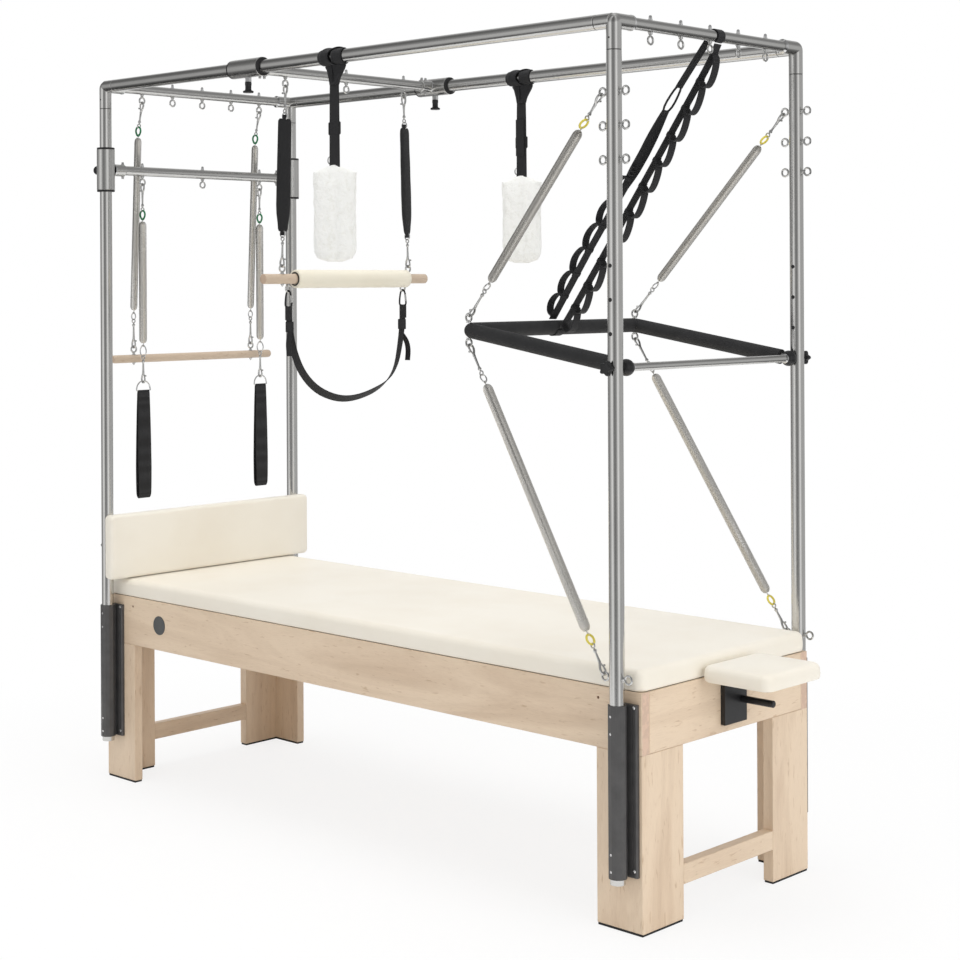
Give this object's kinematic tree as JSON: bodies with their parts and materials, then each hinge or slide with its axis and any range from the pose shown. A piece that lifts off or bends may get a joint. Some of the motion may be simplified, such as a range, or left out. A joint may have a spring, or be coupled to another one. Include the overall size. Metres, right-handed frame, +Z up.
{
  "type": "pilates trapeze table",
  "caption": "Padded table under a four-post tube canopy with a height adjustable crossbar, springs, handles, a roll-down bar, a swinging trapeze, cuffs and a push-through bar.",
  "frame": {"origin": "on the floor under the middle of the outline's rectangle", "axes": "+X along the table towards the push-through bar, -Y towards the near long side, +Z up"},
  "size_m": [2.399, 0.8688, 2.2275],
  "materials": {
    "polished_tube": "polished",
    "spring_steel": "satin",
    "dark_coat": "satin",
    "black_plastic": "matt",
    "foam": "matt",
    "rubber": "matt",
    "maple": "satin lacquer",
    "dowel_wood": "satin lacquer",
    "vinyl": "satin",
    "fleece": "matt",
    "strap": "matt"
  },
  "bodies": {
    "frame": {"side_rail_near": "maple", "top_tube_near": "polished_tube", "leg_head_near": "maple", "foot_head_near": "rubber", "bracket_head_near": "dark_coat", "post_head_near": "polished_tube", "leg_foot_near": "maple", "foot_foot_near": "rubber", "bracket_foot_near": "dark_coat", "post_foot_near": "polished_tube", "side_rail_far": "maple", "top_tube_far": "polished_tube", "leg_head_far": "maple", "foot_head_far": "rubber", "bracket_head_far": "dark_coat", "post_head_far": "polished_tube", "leg_foot_far": "maple", "foot_foot_far": "rubber", "bracket_foot_far": "dark_coat", "post_foot_far": "polished_tube", "end_rail_head": "maple", "stretcher_head": "maple", "top_end_head": "polished_tube", "end_rail_foot": "maple", "stretcher_foot": "maple", "top_end_foot": "polished_tube", "deck_board": "maple", "mat": "vinyl", "head_pad": "vinyl", "end_cushion": "vinyl", "end_cushion_bracket": "black_plastic"},
    "carriage": {"top_carriage": "polished_tube"},
    "lift": {"lift_bar": "polished_tube"},
    "push": {"push_bar": "polished_tube", "push_bar_foam": "foam", "push_spring_upper_near": "spring_steel", "push_spring_upper_far": "spring_steel", "push_spring_lower_near": "spring_steel", "push_spring_lower_far": "spring_steel", "loop_strap": "strap"},
    "rolldown": {"rolldown_bar": "dowel_wood", "rolldown_spring_near": "spring_steel", "rolldown_spring_far": "spring_steel"},
    "trapeze": {"trapeze_bar": "dowel_wood", "trapeze_roll": "vinyl", "trapeze_strap_near": "strap", "trapeze_strap_far": "strap"},
    "sling": {"sling": "strap"},
    "carriage_knob_near": {"carriage_knob_near": "black_plastic"},
    "lift_knob_near": {"lift_knob_near": "black_plastic"},
    "star_knob_near": {"star_knob_near": "black_plastic"},
    "handle_near": {"handle_spring_near": "spring_steel"},
    "handle_loop_near": {"handle_loop_near": "strap"},
    "cuff_near": {"cuff_near": "fleece"},
    "carriage_knob_far": {"carriage_knob_far": "black_plastic"},
    "lift_knob_far": {"lift_knob_far": "black_plastic"},
    "star_knob_far": {"star_knob_far": "black_plastic"},
    "handle_far": {"handle_spring_far": "spring_steel"},
    "handle_loop_far": {"handle_loop_far": "strap"},
    "cuff_far": {"cuff_far": "fleece"}
  },
  "joints": [
    {"name": "carriage_slide", "type": "slide", "parent": "frame", "child": "carriage", "axis": [-1, 0, 0], "range_m": [-0.24, 0.58]},
    {"name": "trapeze_swing", "type": "hinge", "parent": "carriage", "child": "trapeze", "pos_m": [-0.4285, 0, 2.155], "axis": [0, -1, 0], "range_deg": [-30, 30]},
    {"name": "sling_swing", "type": "hinge", "parent": "trapeze", "child": "sling", "pos_m": [-0.4285, 0, 1.547], "axis": [0, 1, 0], "range_deg": [-40, 40]},
    {"name": "lift_slide", "type": "slide", "parent": "frame", "child": "lift", "axis": [0, 0, 1], "range_m": [-0.164, 0]},
    {"name": "push_bar_swing", "type": "hinge", "parent": "frame", "child": "push", "pos_m": [0.9405, 0, 1.365], "axis": [0, 1, 0], "range_deg": [-45, 45], "stiffness_Nm_per_rad": 120, "springref_deg": 11.89, "deforming": ["push_spring_upper_near", "push_spring_upper_far", "push_spring_lower_near", "push_spring_lower_far", "loop_strap"]},
    {"name": "rolldown_swing", "type": "hinge", "parent": "frame", "child": "rolldown", "pos_m": [-1.1355, 0, 2.155], "axis": [0, 1, 0], "range_deg": [0, 35]},
    {"name": "carriage_knob_near_pull", "type": "slide", "parent": "carriage", "child": "carriage_knob_near", "axis": [0, 0, -1], "range_m": [0, 0.008], "stiffness_N_per_m": 2000},
    {"name": "lift_knob_near_pull", "type": "slide", "parent": "lift", "child": "lift_knob_near", "axis": [-1, 0, 0], "range_m": [0, 0.008], "stiffness_N_per_m": 2000},
    {"name": "star_knob_near_turn", "type": "hinge", "parent": "push", "child": "star_knob_near", "pos_m": [0.9405, -0.387, 1.365], "axis": [0, 1, 0], "continuous": true},
    {"name": "handle_near_swing", "type": "hinge", "parent": "lift", "child": "handle_near", "pos_m": [-1.1355, -0.245, 1.8915], "axis": [0, 1, 0], "range_deg": [-35, 1.5]},
    {"name": "handle_loop_near_swing", "type": "hinge", "parent": "handle_near", "child": "handle_loop_near", "pos_m": [-1.1355, -0.245, 1.26], "axis": [0, 1, 0], "range_deg": [-45, 45]},
    {"name": "cuff_near_swing", "type": "hinge", "parent": "frame", "child": "cuff_near", "pos_m": [-0.0565, -0.387, 2.2], "axis": [1, 0, 0], "range_deg": [-25, 25]},
    {"name": "carriage_knob_far_pull", "type": "slide", "parent": "carriage", "child": "carriage_knob_far", "axis": [0, 0, -1], "range_m": [0, 0.008], "stiffness_N_per_m": 2000},
    {"name": "lift_knob_far_pull", "type": "slide", "parent": "lift", "child": "lift_knob_far", "axis": [-1, 0, 0], "range_m": [0, 0.008], "stiffness_N_per_m": 2000},
    {"name": "star_knob_far_turn", "type": "hinge", "parent": "push", "child": "star_knob_far", "pos_m": [0.9405, 0.387, 1.365], "axis": [0, 1, 0], "continuous": true},
    {"name": "handle_far_swing", "type": "hinge", "parent": "lift", "child": "handle_far", "pos_m": [-1.1355, 0.245, 1.8915], "axis": [0, 1, 0], "range_deg": [-35, 1.5]},
    {"name": "handle_loop_far_swing", "type": "hinge", "parent": "handle_far", "child": "handle_loop_far", "pos_m": [-1.1355, 0.245, 1.26], "axis": [0, 1, 0], "range_deg": [-45, 45]},
    {"name": "cuff_far_swing", "type": "hinge", "parent": "frame", "child": "cuff_far", "pos_m": [-0.0565, 0.387, 2.2], "axis": [1, 0, 0], "range_deg": [-25, 25]}
  ]
}
